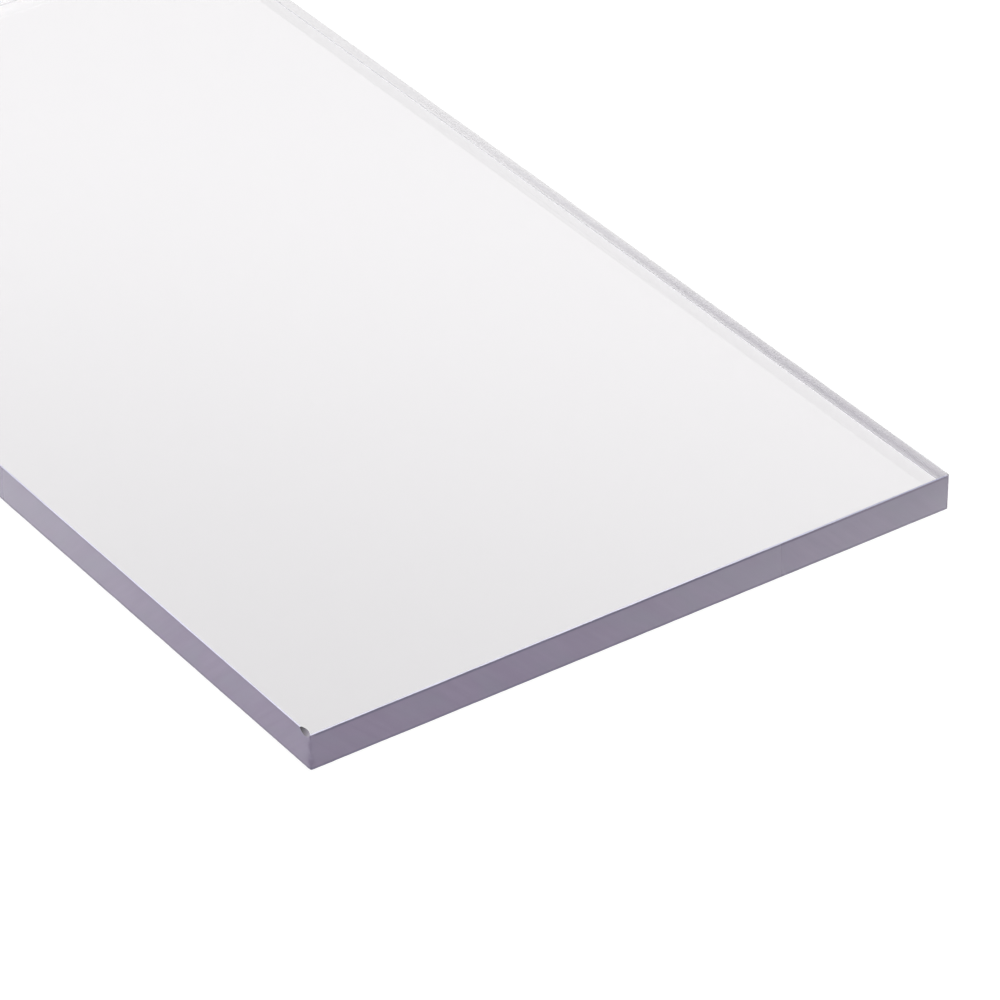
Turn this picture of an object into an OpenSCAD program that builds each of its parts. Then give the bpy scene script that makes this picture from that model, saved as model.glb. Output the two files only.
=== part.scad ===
// Clear polycarbonate sheet: a small panel sawn from flat solid stock.
// It lies flat with its lower face on z = 0. The width runs along X and the
// length along Y, and the origin is under the middle of the lower face.

/* [Sheet] */
// Length of the panel, along Y
panel_length = 200; // [60:1:600]
// Width of the panel, along X
panel_width = 110; // [40:1:400]
// Gauge of the stock: the thickness, along Z
gauge = 6; // [2, 3, 4, 5, 6, 8, 10, 12, 15]

/* [Scraped edges] */
// Width of the bevel scraped along the rims of both faces
rim_bevel = 0.2; // [0.05:0.05:0.5]
// Width of the bevel on the four upright corners
corner_bevel = 0.15; // [0.05:0.05:0.5]

/* [Chip in the upper rim] */
// Distance from the front corner to the middle of the chip
chip_from_corner = 1.3; // [0:0.1:4]
// Length of the chip along the rim
chip_length = 2.6; // [1:0.1:5]
// How far the chip reaches in across the upper face
chip_reach_in = 0.4; // [0.1:0.1:1.2]
// How far the chip reaches down the sawn edge
chip_reach_down = 0.85; // [0.1:0.05:1.5]

/* [Flake off the upright corner] */
// Height of the flake's middle above the lower face
flake_height = 1.3; // [0.5:0.1:2]
// Length of the flake along the corner
flake_length = 2.2; // [0.6:0.1:3]
// How far the flake reaches across each sawn edge
flake_reach = 0.35; // [0.1:0.05:0.8]

/* [Hidden] */
clear_tint = [0.90, 0.89, 0.92, 0.6];
front_corner = [-panel_width / 2, -panel_length / 2];

// Outline of a rectangle about the origin with its four corners bevelled
function bevelled_outline(size, bevel) =
    let (x = size[0] / 2, y = size[1] / 2)
    [[x - bevel, y], [x, y - bevel], [x, bevel - y], [x - bevel, -y],
     [bevel - x, -y], [-x, bevel - y], [-x, y - bevel], [bevel - x, y]];

// The sheet seen from above, with its bevelled upright corners
module plan() {
    polygon(bevelled_outline([panel_width, panel_length], corner_bevel));
}

// The sheet seen from one end, with its bevelled rims. Its lower face is on y = 0
module section(across) {
    translate([0, gauge / 2])
        polygon(bevelled_outline([across, gauge], rim_bevel));
}

// What is common to the plan and to both sections is the sawn and scraped panel
module scraped_panel() {
    intersection() {
        linear_extrude(gauge) plan();
        rotate([90, 0, 0])
            linear_extrude(panel_length, center = true) section(panel_width);
        rotate([90, 0, 90])
            linear_extrude(panel_width, center = true) section(panel_length);
    }
}

// Sphere that takes a shell-shaped nick out of a square edge along Y, where the
// solid is on the +X and -Z sides. The nick is `length` long on the edge, and
// reaches `reach_in` along X and `reach_down` along Z.
module scoop(length, reach_in, reach_down) {
    half = length / 2;
    out = (half ^ 2 - reach_in ^ 2) / (2 * reach_in);
    up = (half ^ 2 - reach_down ^ 2) / (2 * reach_down);
    translate([-out, 0, up])
        sphere(sqrt(half ^ 2 + out ^ 2 + up ^ 2), $fn = 96);
}

// Chip in the upper rim of the long edge, beside the front corner
module rim_chip() {
    translate([front_corner[0], front_corner[1] + chip_from_corner, gauge])
        scoop(chip_length, chip_reach_in, chip_reach_down);
}

// Flake that has come off the upright front corner, low down
module corner_flake() {
    translate([front_corner[0], front_corner[1], flake_height])
        rotate([90, 0, 0])
            scoop(flake_length, flake_reach, flake_reach);
}

// The sheet: one piece of extruded plastic, with the two nicks of its front corner
module sheet() {
    color(clear_tint)
        difference() {
            scraped_panel();
            rim_chip();
            corner_flake();
        }
}

sheet();
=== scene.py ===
from math import cos, exp, pi, radians, sin, sqrt

import bmesh
import bpy
from bpy.props import FloatProperty, FloatVectorProperty, PointerProperty
from mathutils import Matrix, Vector, noise
from mathutils.geometry import delaunay_2d_cdt


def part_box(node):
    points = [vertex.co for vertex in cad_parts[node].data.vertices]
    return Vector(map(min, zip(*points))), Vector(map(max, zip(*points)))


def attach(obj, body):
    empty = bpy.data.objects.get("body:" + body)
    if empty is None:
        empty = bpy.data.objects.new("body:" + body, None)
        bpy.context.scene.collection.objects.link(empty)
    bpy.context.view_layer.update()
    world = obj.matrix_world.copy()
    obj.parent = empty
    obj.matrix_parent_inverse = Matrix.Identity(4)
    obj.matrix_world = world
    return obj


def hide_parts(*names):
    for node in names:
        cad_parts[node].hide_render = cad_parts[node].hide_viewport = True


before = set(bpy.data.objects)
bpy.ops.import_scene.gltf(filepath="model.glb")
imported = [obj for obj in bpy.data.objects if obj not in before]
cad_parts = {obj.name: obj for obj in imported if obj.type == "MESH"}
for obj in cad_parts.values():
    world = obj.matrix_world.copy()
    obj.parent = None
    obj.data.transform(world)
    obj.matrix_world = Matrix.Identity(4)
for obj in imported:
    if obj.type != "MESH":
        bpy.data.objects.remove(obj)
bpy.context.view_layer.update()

bl_info = {
    "name": "Clear plastic sheet",
    "version": (1, 0, 0),
    "blender": (4, 5, 0),
    "location": "View3D > Sidebar > Sheet",
    "description": "Adds a sawn panel of clear solid sheet with its finish, floor and studio",
    "category": "Add Mesh",
}

LOWEST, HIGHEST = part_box("sheet")
MM = 0.001
FRONT_CORNER = Vector((LOWEST.x, LOWEST.y, 0))


class SheetSizes(bpy.types.PropertyGroup):
    """Sizes of the sheet and of the marks that the saw and the scraper left on it"""

    width: FloatProperty(
        name="Width",
        description="Size of the sheet along X",
        default=HIGHEST.x - LOWEST.x,
        unit="LENGTH",
    )
    length: FloatProperty(
        name="Length",
        description="Size of the sheet along Y",
        default=HIGHEST.y - LOWEST.y,
        unit="LENGTH",
    )
    gauge: FloatProperty(
        name="Gauge",
        description="Thickness of the sheet",
        default=HIGHEST.z - LOWEST.z,
        unit="LENGTH",
    )
    rim_bevel: FloatProperty(
        name="Rim bevel",
        description="Mean width of the bevel scraped along the rims of both faces",
        default=0.13 * MM,
        unit="LENGTH",
    )
    corner_bevel: FloatProperty(
        name="Corner bevel",
        description="Width of the bevel on the upright corners",
        default=0.15 * MM,
        unit="LENGTH",
    )
    corner_wear: FloatProperty(
        name="Corner wear",
        description="Depth of the uneven wear of the upright front corner",
        default=0.28 * MM,
        unit="LENGTH",
    )
    saw_pitch: FloatProperty(
        name="Saw pitch",
        description="Distance between the marks that the saw's teeth left on an edge",
        default=1.3 * MM,
        unit="LENGTH",
    )
    saw_depth: FloatProperty(
        name="Saw depth",
        description="Depth of the deepest saw marks",
        default=0.012 * MM,
        unit="LENGTH",
    )
    blade_radius: FloatProperty(
        name="Blade radius",
        description="Radius of the arcs that the saw's marks follow up an edge",
        default=14 * MM,
        unit="LENGTH",
    )
    chip_length: FloatProperty(
        name="Chip length",
        description="Length of the chip in the upper rim beside the front corner",
        default=2.6 * MM,
        unit="LENGTH",
    )
    flake_length: FloatProperty(
        name="Flake length",
        description="Length of the flake off the upright front corner",
        default=2.2 * MM,
        unit="LENGTH",
    )


class SheetFinish(bpy.types.PropertyGroup):
    """Colours of the sheet's surfaces, painted light and shade among them"""

    face_colour: FloatVectorProperty(
        name="Polished face",
        description="Tint of the light that goes through a polished face",
        default=(0.887, 0.873, 0.887),
        subtype="COLOR",
        size=3,
    )
    edge_colour: FloatVectorProperty(
        name="Sawn edge",
        description="Colour of a sawn edge",
        default=(0.225, 0.178, 0.288),
        subtype="COLOR",
        size=3,
    )
    edge_streak: FloatVectorProperty(
        name="Sawn edge, streaks",
        description="Colour of the slanted streaks that the saw left on an edge",
        default=(0.266, 0.214, 0.332),
        subtype="COLOR",
        size=3,
    )
    edge_blotch: FloatVectorProperty(
        name="Sawn edge, blotches",
        description="Colour of the soft cool blotches on a sawn edge",
        default=(0.232, 0.208, 0.305),
        subtype="COLOR",
        size=3,
    )
    # Painted shade: the colour of the dark line under the upper rims, the soft shade below it and the
    # foot of the near edges
    painted_shade_colour: FloatVectorProperty(
        name="Edge line",
        description="Colour of the dark line along the rims of the near edges",
        default=(0.115, 0.1, 0.18),
        subtype="COLOR",
        size=3,
    )
    # Painted light: the sawn edges are painted paler towards this colour away from the front corner
    far_edge_colour: FloatVectorProperty(
        name="Sawn edge, far end",
        description="Colour that a sawn edge pales to, away from the front corner",
        default=(0.92, 0.92, 0.94),
        subtype="COLOR",
        size=3,
    )
    # Partly painted highlight: the scraped rims are pale, and they are painted brighter near the
    # front corner, where lamp_rim also gives a real highlight
    rim_colour: FloatVectorProperty(
        name="Scraped rim",
        description="Colour of the scraped rims near the front corner",
        default=(0.86, 0.84, 1.0),
        subtype="COLOR",
        size=3,
    )
    # The colour of the rims past the painted highlight
    rim_past_highlight: FloatVectorProperty(
        name="Scraped rim, dull",
        description="Colour that the rims of the near edges turn to, away from the front corner",
        default=(0.42, 0.42, 0.58),
        subtype="COLOR",
        size=3,
    )
    rim_clear: FloatVectorProperty(
        name="Scraped rim, clear",
        description="Tint of the clear rims of the far edges",
        default=(0.77, 0.77, 0.81),
        subtype="COLOR",
        size=3,
    )
    chip_colour: FloatVectorProperty(
        name="Chip",
        description="Colour of the chip at its end beside the front corner",
        default=(0.36, 0.33, 0.39),
        subtype="COLOR",
        size=3,
    )
    # Painted shade in the chip's hollow, at its end away from the front corner
    chip_painted_shade: FloatVectorProperty(
        name="Chip, dark end",
        description="Colour of the chip at its end away from the front corner",
        default=(0.04, 0.036, 0.045),
        subtype="COLOR",
        size=3,
    )
    flake_colour: FloatVectorProperty(
        name="Flake",
        description="Colour of the flake low on the front corner",
        default=(0.50, 0.45, 0.60),
        subtype="COLOR",
        size=3,
    )


class Studio(bpy.types.PropertyGroup):
    """Camera and floor"""

    azimuth: FloatProperty(
        name="View azimuth",
        description="Direction of the camera's view, from +Y towards +X",
        default=radians(35.163),
        unit="ROTATION",
    )
    elevation: FloatProperty(
        name="View elevation",
        description="Height of the camera above the floor, as an angle",
        default=radians(33.841),
        unit="ROTATION",
    )
    distance: FloatProperty(
        name="Distance",
        description="Distance from the camera to the middle of its view",
        default=834.21 * MM,
        unit="LENGTH",
    )
    lens: FloatProperty(
        name="Lens",
        description="Focal length of the camera, in millimetres",
        default=211.03,
    )
    floor_colour: FloatVectorProperty(
        name="Floor",
        description="Colour of the floor",
        default=(0.75, 0.75, 0.75),
        subtype="COLOR",
        size=3,
    )
    floor_lift: FloatProperty(
        name="Floor lift",
        description="Light added to the floor where it is seen, so that it comes out white",
        default=0.277,
    )


def sheet_settings():
    return bpy.context.scene.clear_sheet


def finish_settings():
    return bpy.context.scene.clear_sheet_finish


def studio_settings():
    return bpy.context.scene.clear_sheet_studio


# Node helpers

# Numbers of a mix node's two inputs and of its output, for each kind of value
MIX_SOCKETS = {"RGBA": (6, 7, 2), "FLOAT": (2, 3, 0)}
NODE_STEP = 160


def node(tree, kind, place=(0, 0), **settings):
    """Adds a node and sets its properties, and those of its inputs that are given by name"""
    made = tree.nodes.new(kind)
    made.location = place
    for name, value in settings.items():
        if hasattr(made, name):
            setattr(made, name, value)
        else:
            made.inputs[name.replace("_", " ")].default_value = value
    return made


def link(tree, source, target):
    tree.links.new(source, target)


def feed(tree, value, target):
    """Gives an input its value, which is a socket, a number or the three numbers of a colour"""
    if isinstance(value, bpy.types.NodeSocket):
        link(tree, value, target)
    elif target.type == "RGBA":
        target.default_value = (*value, 1)
    else:
        target.default_value = value


def blank_material(name):
    """A material with an empty node tree, and its output node"""
    material = bpy.data.materials.new(name)
    material.use_nodes = True
    tree = material.node_tree
    tree.nodes.clear()
    return material, tree, node(tree, "ShaderNodeOutputMaterial", (900, 0))


def ramp(tree, value, start, end, place, low=0.0, high=1.0, smooth=False):
    """A socket that goes from low to high while a value goes from start to end"""
    made = node(tree, "ShaderNodeMapRange", place)
    made.interpolation_type = "SMOOTHSTEP" if smooth else "LINEAR"
    made.inputs["From Min"].default_value = start
    made.inputs["From Max"].default_value = end
    made.inputs["To Min"].default_value = low
    made.inputs["To Max"].default_value = high
    link(tree, value, made.inputs["Value"])
    return made.outputs[0]


def mixed(tree, share, first, second, place, kind="RGBA"):
    """A socket with the mix of two colours or of two numbers"""
    made = node(tree, "ShaderNodeMix", place, data_type=kind)
    one, other, result = MIX_SOCKETS[kind]
    link(tree, share, made.inputs[0])
    feed(tree, first, made.inputs[one])
    feed(tree, second, made.inputs[other])
    return made.outputs[result]


def calculated(tree, operation, first, second, place):
    """A socket with the result of a sum on two values"""
    made = node(tree, "ShaderNodeMath", place, operation=operation)
    feed(tree, first, made.inputs[0])
    feed(tree, second, made.inputs[1])
    return made.outputs[0]


def any_of(tree, path, names, place):
    """A socket that is 1 for a ray of any of the named kinds"""
    x, y = place
    found = path.outputs[names[0]]
    for i, name in enumerate(names[1:]):
        found = calculated(tree, "MAXIMUM", found, path.outputs[name], (x + NODE_STEP * i, y))
    return found


# Finishes

PLASTIC_IOR = 1.585
CLEARNESS = (0.93, 0.93, 0.93)
RIM_ROUGHNESS, RIM_CLEARNESS = 0.35, 0.1
BROKEN_ROUGHNESS, BROKEN_CLEARNESS = 0.25, 0.2

# The pattern of a sawn edge: its sizes along and up the edge, and the values between which it shows
PATTERN_DETAIL = 2.0
STREAK_LEAN = 1.0
STREAK_ALONG, STREAK_UP = 1.5 * MM, 11 * MM
STREAK_FROM, STREAK_TO = 0.22, 0.78
BLOTCH_ALONG, BLOTCH_UP = 5.5 * MM, 9 * MM
BLOTCH_FROM, BLOTCH_TO, BLOTCH_SHARE = 0.45, 0.65, 0.7

# Distances in from an edge, over which that edge's own finish comes up
FAR_FROM, FAR_TO = 0.6 * MM, 0.3 * MM
LEFT_FROM, LEFT_TO = 1.0 * MM, 0.5 * MM

# Distances from the front corner, between which a finish and its painted light and shade change, and
# what they change by
# PALE and LEFT_PALE are painted light: the edges are paler away from the front corner, and the left
# edge is paler still, where more light falls
PALE_FROM, PALE_TO = 35 * MM, 420 * MM
LEFT_PALE_FROM, LEFT_PALE_TO, LEFT_PALE = 5 * MM, 50 * MM, 0.04
# FADE: the distances over which the painted dark line of the near edges fades
FADE_FROM, FADE_TO, FADED = 70 * MM, 108 * MM, 0.45
# The distances over which the painted highlight of the near rims dies out
RIM_HIGHLIGHT_FROM, RIM_HIGHLIGHT_TO = 65 * MM, 100 * MM
CLOUDY_FROM, CLOUDY_TO = 75 * MM, 230 * MM
CLOUDY_NEAR, CLOUDY_FAR = 0.8, 0.0
ROUGH_NEAR, ROUGH_FAR = 0.28, 0.08
FAR_EDGE_FROM, FAR_EDGE_TO, FAR_EDGE_CLOUDY = 75 * MM, 215 * MM, 0.88
SPREAD_FROM, SPREAD_TO, SPREAD_NEAR = 108 * MM, 140 * MM, 0.5

# Distances from the right edge, between which the front edge is painted a little paler: painted light
# from light that comes in through the right edge
END_PALE_FROM, END_PALE_TO, END_PALE = 6.0 * MM, 1.0 * MM, 0.05

# Depths below the upper rim and heights above the lower one, for the painted shade of the near edges:
# a dark line under the upper rim, a soft shade below it and a dark foot at the lower rim. The line is
# painted fainter on the left edge, where more light falls
LINE_FROM, LINE_TO, LEFT_LINE = 0.6 * MM, 0.4 * MM, 0.25
SHADE_FROM, SHADE_TO, SHADE, SHADE_OVER_FADE = 4.5 * MM, 0.3 * MM, 0.22, 1.2
FOOT_FROM, FOOT_TO, FOOT = 0.6 * MM, 0.2 * MM, 0.8

# How far up a far edge its cloudy middle is, as a share, and how much smoother its rims are
CLOUDY_MIDDLE = 0.35
RIMS_SMOOTHER = 0.6

# Distances from the front corner along the chip, over which its painted shade deepens, and heights at
# the top of the flake
CHIP_PALE, CHIP_DARK = 0.3 * MM, 2.3 * MM
FLAKE_FROM, FLAKE_TO = 3.2 * MM, 2.8 * MM


def let_light_through(tree, surface, out):
    """Lets lamplight and soft light cross a clear surface, so that no dark shadow lies under it"""
    path = node(tree, "ShaderNodeLightPath", (300, 400))
    clear = node(tree, "ShaderNodeBsdfTransparent", (500, -150))
    clear.inputs["Color"].default_value = (*CLEARNESS, 1)
    mix = node(tree, "ShaderNodeMixShader", (700, 0))
    link(tree, any_of(tree, path, ("Is Shadow Ray", "Is Diffuse Ray"), (500, 400)), mix.inputs[0])
    link(tree, surface, mix.inputs[1])
    link(tree, clear.outputs[0], mix.inputs[2])
    link(tree, mix.outputs[0], out.inputs["Surface"])


def plastic(tree, colour, roughness, clearness):
    """The surface of the plastic, from fully cloudy at a clearness of 0 to glass clear at 1"""
    made = node(tree, "ShaderNodeBsdfPrincipled", (500, 0))
    feed(tree, colour, made.inputs["Base Color"])
    feed(tree, roughness, made.inputs["Roughness"])
    feed(tree, clearness, made.inputs["Transmission Weight"])
    made.inputs["IOR"].default_value = PLASTIC_IOR
    return made.outputs[0]


def place_on_sheet(tree):
    """Sockets with the place of a point on the sheet: the whole, and its parts X, Y and Z"""
    place = node(tree, "ShaderNodeTexCoord", (-1400, 0)).outputs["Object"]
    parts = node(tree, "ShaderNodeSeparateXYZ", (-1200, 0))
    link(tree, place, parts.inputs[0])
    return place, parts.outputs


def from_front_corner(tree, place):
    """A socket with the distance from the front corner"""
    away = node(tree, "ShaderNodeVectorMath", (-900, -100), operation="DISTANCE")
    away.inputs[1].default_value = FRONT_CORNER
    link(tree, place, away.inputs[0])
    return away.outputs["Value"]


def far_side(tree, parts):
    """A socket that is 1 on the right and back edges, which don't meet the front corner"""
    right = ramp(tree, parts["X"], HIGHEST.x - FAR_FROM, HIGHEST.x - FAR_TO, (-500, -400))
    back = ramp(tree, parts["Y"], HIGHEST.y - FAR_FROM, HIGHEST.y - FAR_TO, (-500, -650))
    return calculated(tree, "MAXIMUM", right, back, (-250, -500))


def towards_rims(tree, height):
    """A socket that is 0 in the cloudy middle of a far edge and 1 at its rims"""
    middle = LOWEST.z + CLOUDY_MIDDLE * (HIGHEST.z - LOWEST.z)
    below = ramp(tree, height, middle, LOWEST.z, (-500, -900))
    above = ramp(tree, height, middle, HIGHEST.z, (-500, -1050))
    return calculated(tree, "ADD", below, above, (-250, -900))


def slanted_pattern(tree, parts, size_along, size_up, place):
    """A soft pattern that runs along an edge and leans as the saw's streaks do"""
    x, y = place
    along = calculated(tree, "ADD", parts["X"], parts["Y"], (x - 600, y))
    lean = calculated(tree, "MULTIPLY", parts["Z"], STREAK_LEAN, (x - 600, y + 150))
    along = calculated(tree, "ADD", along, lean, (x - 450, y))
    along = calculated(tree, "DIVIDE", along, size_along, (x - 300, y))
    up = calculated(tree, "DIVIDE", parts["Z"], size_up, (x - 300, y - 150))
    spot = node(tree, "ShaderNodeCombineXYZ", (x - 150, y))
    link(tree, along, spot.inputs["X"])
    link(tree, up, spot.inputs["Y"])
    pattern = node(tree, "ShaderNodeTexNoise", place, Scale=1.0, Detail=PATTERN_DETAIL)
    link(tree, spot.outputs[0], pattern.inputs["Vector"])
    return pattern.outputs["Fac"]


def edge_tone_and_painted_light(tree, parts, away, left, near):
    """The violet grey of a sawn edge, streaked and blotched, with painted light: paler away from the
    front corner, on the left edge and at the right end of the front edge
    """
    finish = finish_settings()
    streaks = slanted_pattern(tree, parts, STREAK_ALONG, STREAK_UP, (-500, 600))
    share = ramp(tree, streaks, STREAK_FROM, STREAK_TO, (-350, 600))
    colour = mixed(tree, share, finish.edge_colour, finish.edge_streak, (-150, 500))
    blotches = slanted_pattern(tree, parts, BLOTCH_ALONG, BLOTCH_UP, (-500, 300))
    share = ramp(tree, blotches, BLOTCH_FROM, BLOTCH_TO, (-350, 300), 0.0, BLOTCH_SHARE)
    colour = mixed(tree, share, colour, finish.edge_blotch, (0, 400))

    # Painted light: paler away from the front corner, on the left edge and at the right end of the
    # front edge
    pale = ramp(tree, away, PALE_FROM, PALE_TO, (-500, -100))
    side = ramp(tree, away, LEFT_PALE_FROM, LEFT_PALE_TO, (-700, 50), 0.0, LEFT_PALE)
    side = calculated(tree, "MULTIPLY", left, side, (-500, 50))
    pale = calculated(tree, "ADD", pale, side, (-300, 50))
    first, last = HIGHEST.x - END_PALE_FROM, HIGHEST.x - END_PALE_TO
    end = ramp(tree, parts["X"], first, last, (-700, -50), 0.0, END_PALE)
    end = calculated(tree, "MULTIPLY", end, near, (-500, -20))
    pale = calculated(tree, "ADD", pale, end, (-200, 50))
    return mixed(tree, pale, colour, finish.far_edge_colour, (150, 300))


def edge_painted_shade(tree, height, away, left):
    """Share of painted shade: the dark line under the upper rim, the soft shade below it, and the
    dark foot
    """
    fade = ramp(tree, away, FADE_FROM, FADE_TO, (-350, 150), 1.0, FADED)
    line = ramp(tree, height, HIGHEST.z - LINE_FROM, HIGHEST.z - LINE_TO, (-350, 0))
    line = calculated(tree, "MULTIPLY", line, fade, (-200, 100))
    fainter = ramp(tree, left, 0, 1, (-350, 350), 1.0, LEFT_LINE)
    line = calculated(tree, "MULTIPLY", line, fainter, (-100, 150))
    first, last = HIGHEST.z - SHADE_FROM, HIGHEST.z - SHADE_TO
    shade = ramp(tree, height, first, last, (-350, 250), 0.0, SHADE)
    stronger = calculated(tree, "SUBTRACT", SHADE_OVER_FADE, fade, (-200, 300))
    shade = calculated(tree, "MULTIPLY", shade, stronger, (-50, 250))
    upper = calculated(tree, "MAXIMUM", line, shade, (-50, 100))
    foot = ramp(tree, height, LOWEST.z + FOOT_FROM, LOWEST.z + FOOT_TO, (-350, -300), 0.0, FOOT)
    foot = calculated(tree, "MULTIPLY", foot, fade, (-150, -200))
    return calculated(tree, "MAXIMUM", upper, foot, (0, -100))


def edge_clearness(tree, away, rims, near, far):
    """Clearness of a sawn edge, which grows away from the front corner and at the far edges' rims"""
    close = ramp(tree, away, CLOUDY_FROM, CLOUDY_TO, (-250, -250), CLOUDY_NEAR, CLOUDY_FAR)
    close = calculated(tree, "MULTIPLY", close, near, (250, -350))
    beyond = ramp(
        tree, away, FAR_EDGE_FROM, FAR_EDGE_TO, (-250, -1100), FAR_EDGE_CLOUDY, 0.0, smooth=True)
    beyond = calculated(tree, "MULTIPLY", beyond, far, (50, -1100))
    middle = calculated(tree, "SUBTRACT", 1.0, rims, (250, -550))
    beyond = calculated(tree, "MULTIPLY", beyond, middle, (250, -900))
    cloudy = calculated(tree, "ADD", close, beyond, (300, -600))
    return calculated(tree, "SUBTRACT", 1.0, cloudy, (350, -200))


def edge_roughness(tree, away, rims):
    """Roughness of a sawn edge, which drops away from the front corner and at the far edges' rims"""
    rough = ramp(tree, away, CLOUDY_FROM, CLOUDY_TO, (350, -400), ROUGH_NEAR, ROUGH_FAR)
    smoother = calculated(tree, "MULTIPLY", rims, RIMS_SMOOTHER, (250, -750))
    smoother = calculated(tree, "SUBTRACT", 1.0, smoother, (400, -750))
    return calculated(tree, "MULTIPLY", rough, smoother, (500, -500))


def polished_face():
    """The clear, polished faces of extruded sheet"""
    material, tree, out = blank_material("polished_face")
    let_light_through(tree, plastic(tree, finish_settings().face_colour, 0.0, 1.0), out)
    return material


def sawn_edge():
    """The matt edges that the saw left, dark and cloudy near the front corner, clear further off,
    with painted shade along the near rims and painted light paling them away from the corner
    """
    material, tree, out = blank_material("sawn_edge")
    place, parts = place_on_sheet(tree)
    away = from_front_corner(tree, place)
    left = ramp(tree, parts["X"], LOWEST.x + LEFT_FROM, LOWEST.x + LEFT_TO, (-700, 200))
    far = far_side(tree, parts)
    near = calculated(tree, "SUBTRACT", 1.0, far, (0, -500))
    colour = edge_tone_and_painted_light(tree, parts, away, left, near)
    # Painted shade along the upper rims and the foot of the near edges
    dark = edge_painted_shade(tree, parts["Z"], away, left)
    dark = calculated(tree, "MULTIPLY", dark, near, (150, -100))
    colour = mixed(tree, dark, colour, finish_settings().painted_shade_colour, (300, 200))

    rims = calculated(tree, "MULTIPLY", towards_rims(tree, parts["Z"]), far, (50, -700))
    spread = ramp(tree, away, SPREAD_FROM, SPREAD_TO, (-100, -800), SPREAD_NEAR, 1.0)
    rims = calculated(tree, "MULTIPLY", rims, spread, (150, -750))
    clear = edge_clearness(tree, away, rims, near, far)
    rough = edge_roughness(tree, away, rims)
    let_light_through(tree, plastic(tree, colour, rough, clear), out)
    return material


def scraped_rim():
    """The scraped bevels: pale near the front corner with a painted highlight, duller further off
    where it dies out, clear on the far edges
    """
    finish = finish_settings()
    material, tree, out = blank_material("scraped_rim")
    place, parts = place_on_sheet(tree)
    far = far_side(tree, parts)
    # Painted highlight near the front corner, dying out further off
    dull = ramp(tree, from_front_corner(tree, place), RIM_HIGHLIGHT_FROM, RIM_HIGHLIGHT_TO, (-500, -100))
    colour = mixed(tree, dull, finish.rim_colour, finish.rim_past_highlight, (0, 200))
    colour = mixed(tree, far, colour, finish.rim_clear, (200, 200))
    clear = ramp(tree, far, 0, 1, (200, -200), RIM_CLEARNESS, 1.0)
    let_light_through(tree, plastic(tree, colour, RIM_ROUGHNESS, clear), out)
    return material


def broken_face():
    """The smooth, curved faces of the chip and the flake, with painted shade darkest at the chip's
    far end
    """
    finish = finish_settings()
    material, tree, out = blank_material("broken_face")
    _, parts = place_on_sheet(tree)
    along = ramp(tree, parts["Y"], LOWEST.y + CHIP_PALE, LOWEST.y + CHIP_DARK, (-200, 0))
    colour = mixed(tree, along, finish.chip_colour, finish.chip_painted_shade, (0, 0))
    low = ramp(tree, parts["Z"], LOWEST.z + FLAKE_FROM, LOWEST.z + FLAKE_TO, (0, -300))
    colour = mixed(tree, low, colour, finish.flake_colour, (200, 0))
    surface = plastic(tree, colour, BROKEN_ROUGHNESS, BROKEN_CLEARNESS)
    link(tree, surface, out.inputs["Surface"])
    return material


# The sheet's mesh

# The finishes of the mesh, in the order in which the sheet gets them
FACE, EDGE, RIM, BROKEN = range(4)
STATION_STEP = 0.3 * MM
EDGE_ROWS = 22
SHARP_ANGLE = radians(28)

# How the scraped bevels wander about their mean, as shares of it, slowly and quickly
RIM_WANDER, RIM_WANDER_SIZE = 0.3, 4 * MM
RIM_RAGGED, RIM_RAGGED_SIZE = 0.15, 0.9 * MM
RIM_SEED = Vector((3.7, 1.2, 8.1))

# How the saw's marks lean, how they stray from an even pitch, and how their strength varies
SAW_LEAN = 0.8
SAW_STRAY, SAW_STRAY_ALONG, SAW_STRAY_UP, SAW_STRAY_SEED = 0.9, 9 * MM, 20 * MM, 0.3
SAW_STRENGTH, SAW_SWING = 0.55, 0.45
SAW_SWING_ALONG, SAW_SWING_UP, SAW_SWING_SEED = 5 * MM, 8 * MM, 2.5

# The wear of the front corner: its mean and swing, its size up the corner and its reach from it
WEAR_MEAN, WEAR_SWING = 0.35, 1.3
WEAR_SIZE, WEAR_REACH = 0.8 * MM, 0.3 * MM
WEAR_SEED = (0.4, 2.3)

# How a face is filled, in millimetres: rings of points as inset and step, then a grid's inset
FACE_RINGS = ((0.7, 0.7), (1.8, 1.6), (4.5, 4.0), (11.0, 9.0))
FACE_RING_CORNER = 0.3
GRID_INSET, GRID_COLUMNS, GRID_ROWS = 20, 8, 18
FILL_INSIDE, FILL_TOLERANCE = 1, 1e-6

# The two nicks of the front corner, and the faint rings on them
CHIP_IN, CHIP_DOWN = 0.4 * MM, 0.85 * MM
FLAKE_IN, FLAKE_HEIGHT = 0.35 * MM, 1.3 * MM
RING_PITCH, RING_REACH, RING_HEIGHT = 0.35 * MM, 1.2 * MM, 0.012 * MM
BALL_DETAIL = 6


def outline_stations(half, bevel, step):
    """Points round the plan, with the corners bevelled"""
    corners = [
        Vector((half.x, -half.y + bevel)), Vector((half.x, half.y - bevel)),
        Vector((half.x - bevel, half.y)), Vector((-half.x + bevel, half.y)),
        Vector((-half.x, half.y - bevel)), Vector((-half.x, -half.y + bevel)),
        Vector((-half.x + bevel, -half.y)), Vector((half.x - bevel, -half.y)),
    ]
    stations = []
    for start, end in zip(corners, corners[1:] + corners[:1]):
        steps = max(2, round((end - start).length / step))
        stations += [start.lerp(end, i / steps) for i in range(steps)]
    return stations


def squeezed(point, half, inset):
    """A point of the plan moved in by a small inset from the edge that it is on"""
    return Vector((point.x * (1 - inset / half.x), point.y * (1 - inset / half.y)))


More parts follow.
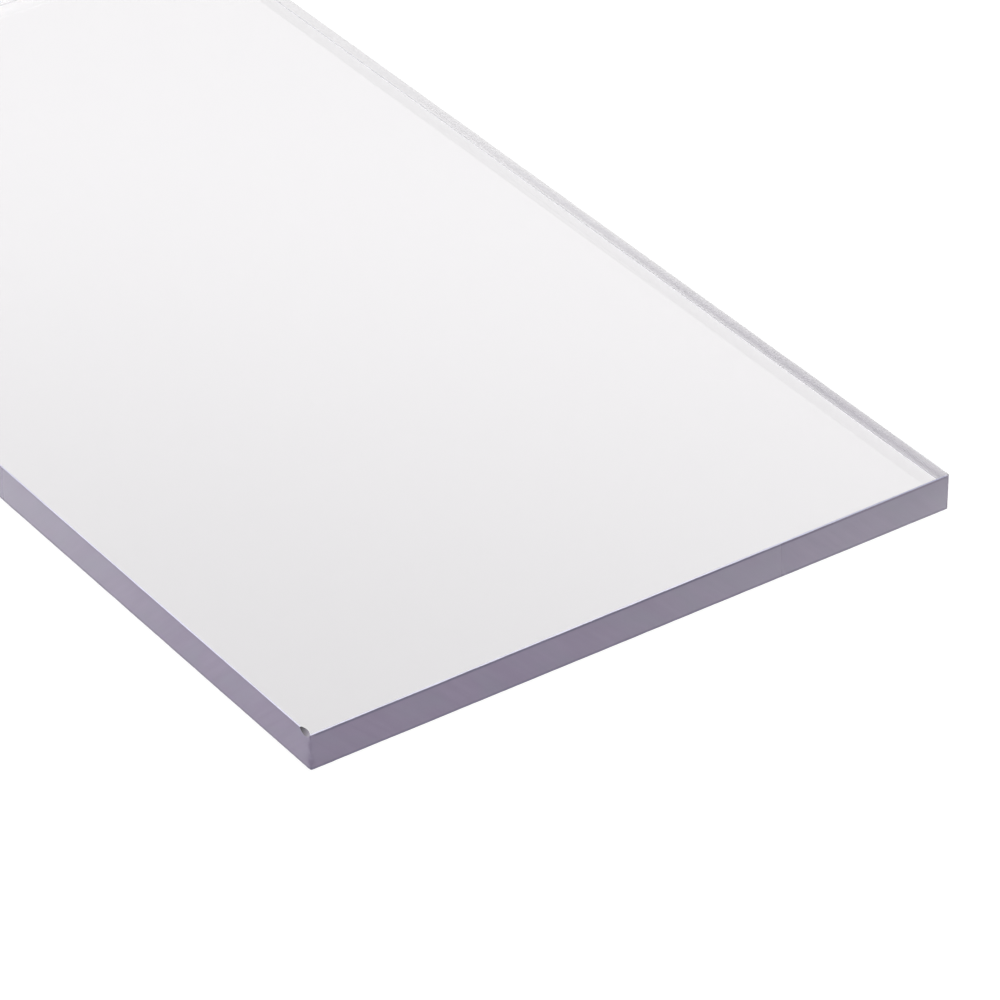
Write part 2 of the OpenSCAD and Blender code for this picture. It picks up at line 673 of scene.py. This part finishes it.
def rim_width(point, level, mean):
    """Width of a hand-scraped bevel, which wanders about its mean"""
    place = Vector((point.x, point.y, level))
    slow = RIM_WANDER * noise.noise(place / RIM_WANDER_SIZE + RIM_SEED)
    quick = RIM_RAGGED * noise.noise(place / RIM_RAGGED_SIZE)
    return mean * (1 + slow + quick)


def saw_mark(point, height, sizes):
    """Depth of the saw's marks at a place on an edge: slanted arcs, uneven in depth and spacing"""
    radius = sizes.blade_radius
    lean = radius - sqrt(radius ** 2 - height ** 2) + SAW_LEAN * height
    along = point.x + point.y + lean
    place = Vector((along / SAW_STRAY_ALONG, height / SAW_STRAY_UP, SAW_STRAY_SEED))
    wave = sin(2 * pi * (along / sizes.saw_pitch + SAW_STRAY * noise.noise(place)))
    place = Vector((along / SAW_SWING_ALONG, SAW_SWING_SEED, height / SAW_SWING_UP))
    strength = SAW_STRENGTH + SAW_SWING * noise.noise(place)
    return sizes.saw_depth * (0.5 + 0.5 * wave) * strength


def corner_wear(point, height, half, depth):
    """Depth of the uneven wear of the upright front corner, which dies out along the edges"""
    away = half.x + point.x + half.y + point.y
    bump = noise.noise(Vector((height / WEAR_SIZE, *WEAR_SEED)))
    return depth * max(0.0, WEAR_MEAN + WEAR_SWING * bump) * exp(-away / WEAR_REACH)


def edge_rings(sizes, half, stations):
    """Rings of points from the lower face's rim, up the edge, to the upper face's rim"""
    rings = [[] for _ in range(EDGE_ROWS + 3)]
    for point in stations:
        low = rim_width(point, 0.0, sizes.rim_bevel)
        high = rim_width(point, sizes.gauge, sizes.rim_bevel)
        rings[0].append((*squeezed(point, half, low), 0.0))
        rings[-1].append((*squeezed(point, half, high), sizes.gauge))
        for row in range(EDGE_ROWS + 1):
            height = low + (sizes.gauge - low - high) * row / EDGE_ROWS
            worn = corner_wear(point, height, half, sizes.corner_wear)
            inset = saw_mark(point, height, sizes) + worn
            rings[row + 1].append((*squeezed(point, half, inset), height))
    return rings


def edge_faces(ring_count, count):
    """Four-sided faces between the rings, with the finish of each: rims at both ends, sawn between"""
    faces, finishes = [], []
    for level in range(ring_count - 1):
        kind = RIM if level in (0, ring_count - 2) else EDGE
        low, high = level * count, (level + 1) * count
        for i in range(count):
            j = (i + 1) % count
            faces.append((low + i, low + j, high + j, high + i))
            finishes.append(kind)
    return faces, finishes


def face_filling(rim, half):
    """Triangles that fill a face inside its rim, small at the rim and large in the middle"""
    points = [Vector((x, y)) / MM for x, y, _ in rim]
    count = len(points)
    for inset, step in FACE_RINGS:
        inner = Vector((half.x / MM - inset, half.y / MM - inset))
        points += outline_stations(inner, FACE_RING_CORNER * inset, step)
    x, y = half.x / MM - GRID_INSET, half.y / MM - GRID_INSET
    for i in range(GRID_COLUMNS + 1):
        for j in range(GRID_ROWS + 1):
            points.append(Vector((x * (2 * i / GRID_COLUMNS - 1), y * (2 * j / GRID_ROWS - 1))))
    edges = [(i, (i + 1) % count) for i in range(count)]
    found, _, faces, origins, _, _ = delaunay_2d_cdt(
        points, edges, [], FILL_INSIDE, FILL_TOLERANCE)
    return found, faces, origins


def face_triangles(vertices, rim, first, half, height):
    """Triangles of a face whose rim starts at a numbered vertex; adds the vertices inside the rim"""
    found, triangles, origins = face_filling(rim, half)
    index = []
    for place, origin in zip(found, origins):
        on_rim = [i for i in origin if i < len(rim)]
        if on_rim:
            index.append(first + on_rim[0])
        else:
            index.append(len(vertices))
            vertices.append((place.x * MM, place.y * MM, height))
    return [tuple(index[i] for i in triangle) for triangle in triangles]


def sheet_mesh(sizes):
    """The sheet as one closed mesh, with polished faces, sawn edges and scraped rims"""
    half = Vector((sizes.width / 2, sizes.length / 2))
    stations = outline_stations(half, sizes.corner_bevel, STATION_STEP)
    rings = edge_rings(sizes, half, stations)
    top = len(rings) - 1
    vertices = [corner for ring in rings for corner in ring]
    faces, finishes = edge_faces(len(rings), len(stations))
    lower = face_triangles(vertices, rings[0], 0, half, 0.0)
    upper = face_triangles(vertices, rings[top], top * len(stations), half, sizes.gauge)
    faces += [tuple(reversed(triangle)) for triangle in lower] + upper
    finishes += [FACE] * (len(lower) + len(upper))
    mesh = bpy.data.meshes.new("clear_sheet")
    mesh.from_pydata(vertices, [], faces)
    mesh.polygons.foreach_set("material_index", finishes)
    return mesh


def scoop(name, length, reach_in, reach_down):
    """A ball that takes a shell-shaped nick out of an edge along Y, with faint rings on it"""
    reach = length / 2
    out = (reach ** 2 - reach_in ** 2) / (2 * reach_in)
    up = (reach ** 2 - reach_down ** 2) / (2 * reach_down)
    radius = sqrt(reach ** 2 + out ** 2 + up ** 2)
    ball = bmesh.new()
    bmesh.ops.create_icosphere(ball, subdivisions=BALL_DETAIL, radius=radius)
    struck = Vector((out, -reach, -up))
    for vertex in ball.verts:
        away = (vertex.co - struck).length
        ring = sin(2 * pi * away / RING_PITCH) * exp(-away / RING_REACH)
        vertex.co *= 1 + RING_HEIGHT * ring / radius
        vertex.co += Vector((-out, 0, up))
    mesh = bpy.data.meshes.new(name)
    ball.to_mesh(mesh)
    ball.free()
    return mesh


def cut(piece, cutter_mesh, place):
    """Takes a cutter out of the piece, and gives the new faces the broken finish"""
    cutter = bpy.data.objects.new("cutter", cutter_mesh)
    bpy.context.scene.collection.objects.link(cutter)
    cutter.matrix_world = place
    for finish in piece.data.materials:
        cutter_mesh.materials.append(finish)
    cutter_mesh.polygons.foreach_set("material_index", [BROKEN] * len(cutter_mesh.polygons))
    boolean = piece.modifiers.new("cut", "BOOLEAN")
    boolean.operation = "DIFFERENCE"
    boolean.solver = "MANIFOLD"
    boolean.object = cutter
    bpy.context.view_layer.update()
    seen = piece.evaluated_get(bpy.context.evaluated_depsgraph_get())
    result = bpy.data.meshes.new_from_object(seen)
    piece.modifiers.clear()
    old = piece.data
    piece.data = result
    bpy.data.meshes.remove(old)
    bpy.data.objects.remove(cutter)
    bpy.data.meshes.remove(cutter_mesh)


class ClearSheetAdd(bpy.types.Operator):
    """Adds the sheet, with its saw marks, scraped rims and the two nicks of its front corner"""

    bl_idname = "mesh.clear_sheet_add"
    bl_label = "Add sheet"

    def execute(self, context):
        sizes = sheet_settings()
        mesh = sheet_mesh(sizes)
        for finish in (polished_face, sawn_edge, scraped_rim, broken_face):
            mesh.materials.append(finish())
        piece = bpy.data.objects.new("clear_sheet", mesh)
        context.scene.collection.objects.link(piece)
        corner = Vector((-sizes.width / 2, -sizes.length / 2, 0))
        chip = scoop("chip", sizes.chip_length, CHIP_IN, CHIP_DOWN)
        chip_middle = corner + Vector((0, sizes.chip_length / 2, sizes.gauge))
        cut(piece, chip, Matrix.Translation(chip_middle))
        flake = scoop("flake", sizes.flake_length, FLAKE_IN, FLAKE_IN)
        flake_middle = corner + Vector((0, 0, FLAKE_HEIGHT))
        upright = Matrix.Rotation(pi / 2, 4, "X")
        cut(piece, flake, Matrix.Translation(flake_middle) @ upright)
        piece.data.name = "clear_sheet"
        piece.data.shade_smooth()
        piece.data.set_sharp_from_angle(angle=SHARP_ANGLE)
        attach(piece, "root")
        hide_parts("sheet")
        return {"FINISHED"}


# Studio

FLOOR_GAP = 0.3 * MM
FLOOR_REACH = 6.0
VIEW_MIDDLE = Vector((-1.49, -68.33, 6.0)) * MM
BACKGROUND_WHITE = 1.0
SKY_LOW, SKY_HIGH = radians(30.5), radians(38.1)
SKY_BRIGHT, SKY_DARK, SKY_SOFT = 1.52, 0.0, 0.5
SKY_LEAN = 0.14
CLEAR_BOUNCES, ALL_BOUNCES = 32, 48

# Each lamp's name, place, aim, size and power, and whether gloss mirrors it
LAMPS = (
    ("lamp_left", Vector((-0.5, 0.12, 0.1)), Vector((-0.055, -0.02, 0)), 0.3, 1.1, False),
    ("lamp_rim", FRONT_CORNER + Vector((0.57, -0.67, 0.81)), FRONT_CORNER, 0.3, 2.0, True),
    ("lamp_top", Vector((0.3, 0.1, 1.2)), Vector((0, 0, 0)), 1.0, 10.0, False),
)


def floor_finish():
    """A pale matt floor that comes out white where it is seen, and keeps its shadows"""
    studio = studio_settings()
    material, tree, out = blank_material("floor")
    matt = node(tree, "ShaderNodeBsdfDiffuse", (200, 0))
    matt.inputs["Color"].default_value = (*studio.floor_colour, 1)
    path = node(tree, "ShaderNodeLightPath", (-400, -200))
    kinds = ("Is Camera Ray", "Is Glossy Ray", "Is Transmission Ray")
    seen = any_of(tree, path, kinds, (-200, -200))
    glow = node(tree, "ShaderNodeEmission", (400, -200))
    lift = calculated(tree, "MULTIPLY", seen, studio.floor_lift, (150, -200))
    link(tree, lift, glow.inputs["Strength"])
    both = node(tree, "ShaderNodeAddShader", (650, 0))
    link(tree, matt.outputs[0], both.inputs[0])
    link(tree, glow.outputs[0], both.inputs[1])
    link(tree, both.outputs[0], out.inputs["Surface"])
    return material


def add_floor():
    mesh = bpy.data.meshes.new("floor")
    reach, level = FLOOR_REACH, -FLOOR_GAP
    corners = [(-reach, -reach), (reach, -reach), (reach, reach), (-reach, reach)]
    mesh.from_pydata([(x, y, level) for x, y in corners], [], [(0, 1, 2, 3)])
    mesh.materials.append(floor_finish())
    floor = bpy.data.objects.new("floor", mesh)
    bpy.context.scene.collection.objects.link(floor)


def add_sky():
    """Soft even light, and a wall of light for what the polished faces mirror, dark high up"""
    world = bpy.data.worlds.new("studio")
    bpy.context.scene.world = world
    world.use_nodes = True
    tree = world.node_tree
    tree.nodes.clear()
    out = node(tree, "ShaderNodeOutputWorld", (900, 0))
    place = node(tree, "ShaderNodeTexCoord", (-900, 0))
    azimuth = studio_settings().azimuth
    lean = node(tree, "ShaderNodeVectorMath", (-700, -200), operation="DOT_PRODUCT")
    lean.inputs[1].default_value = (-SKY_LEAN * cos(azimuth), SKY_LEAN * sin(azimuth), 1)
    link(tree, place.outputs["Generated"], lean.inputs[0])
    low, high = sin(SKY_LOW), sin(SKY_HIGH)
    wall = ramp(
        tree, lean.outputs["Value"], low, high, (-500, 0), SKY_BRIGHT, SKY_DARK, smooth=True)
    path = node(tree, "ShaderNodeLightPath", (-500, 400))
    glossy = any_of(tree, path, ("Is Glossy Ray", "Is Transmission Ray"), (-250, 400))
    light = mixed(tree, glossy, SKY_SOFT, wall, (0, 100), "FLOAT")
    straight = path.outputs["Is Camera Ray"]
    light = mixed(tree, straight, light, BACKGROUND_WHITE, (250, 100), "FLOAT")
    background = node(tree, "ShaderNodeBackground", (600, 0))
    link(tree, light, background.inputs["Strength"])
    link(tree, background.outputs[0], out.inputs["Surface"])


def add_lamp(name, place, aim, size, power, mirrored):
    """A square soft lamp at a place, turned to its aim, and mirrored in gloss or not"""
    data = bpy.data.lights.new(name, "AREA")
    data.shape = "SQUARE"
    data.size = size
    data.energy = power
    lamp = bpy.data.objects.new(name, data)
    lamp.location = place
    lamp.rotation_euler = (aim - place).to_track_quat("-Z", "Y").to_euler()
    lamp.visible_glossy = mirrored
    bpy.context.scene.collection.objects.link(lamp)


def add_camera():
    studio = studio_settings()
    azimuth, elevation = studio.azimuth, studio.elevation
    level = cos(elevation)
    back = Vector((-sin(azimuth) * level, -cos(azimuth) * level, sin(elevation)))
    data = bpy.data.cameras.new("camera")
    data.lens = studio.lens
    camera = bpy.data.objects.new("camera", data)
    camera.location = VIEW_MIDDLE + back * studio.distance
    camera.rotation_euler = back.to_track_quat("Z", "Y").to_euler()
    bpy.context.scene.collection.objects.link(camera)
    bpy.context.scene.camera = camera


class ClearSheetStage(bpy.types.Operator):
    """Adds the floor, the lamps, the sky and the camera"""

    bl_idname = "scene.clear_sheet_stage"
    bl_label = "Add studio"

    def execute(self, context):
        add_floor()
        add_sky()
        for lamp in LAMPS:
            add_lamp(*lamp)
        add_camera()
        context.scene.view_settings.view_transform = "Standard"
        context.scene.cycles.glossy_bounces = CLEAR_BOUNCES
        context.scene.cycles.transmission_bounces = CLEAR_BOUNCES
        context.scene.cycles.max_bounces = ALL_BOUNCES
        return {"FINISHED"}


class ClearSheetPanel(bpy.types.Panel):
    """Lists the sheet's settings and its operators"""

    bl_idname = "VIEW3D_PT_clear_sheet"
    bl_label = "Clear sheet"
    bl_space_type = "VIEW_3D"
    bl_region_type = "UI"
    bl_category = "Sheet"

    def draw(self, context):
        layout = self.layout
        for settings in (sheet_settings(), finish_settings(), studio_settings()):
            column = layout.column()
            for name in settings.__annotations__:
                column.prop(settings, name)
        for operator in (ClearSheetAdd, ClearSheetStage):
            layout.operator(operator.bl_idname)


CLASSES = (SheetSizes, SheetFinish, Studio, ClearSheetAdd, ClearSheetStage, ClearSheetPanel)


def register():
    for cls in CLASSES:
        bpy.utils.register_class(cls)
    bpy.types.Scene.clear_sheet = PointerProperty(type=SheetSizes)
    bpy.types.Scene.clear_sheet_finish = PointerProperty(type=SheetFinish)
    bpy.types.Scene.clear_sheet_studio = PointerProperty(type=Studio)


def unregister():
    del bpy.types.Scene.clear_sheet
    del bpy.types.Scene.clear_sheet_finish
    del bpy.types.Scene.clear_sheet_studio
    for cls in reversed(CLASSES):
        bpy.utils.unregister_class(cls)


def main():
    register()
    bpy.ops.mesh.clear_sheet_add()
    bpy.ops.scene.clear_sheet_stage()
    bpy.context.view_layer.update()


if __name__ == "__main__":
    main()
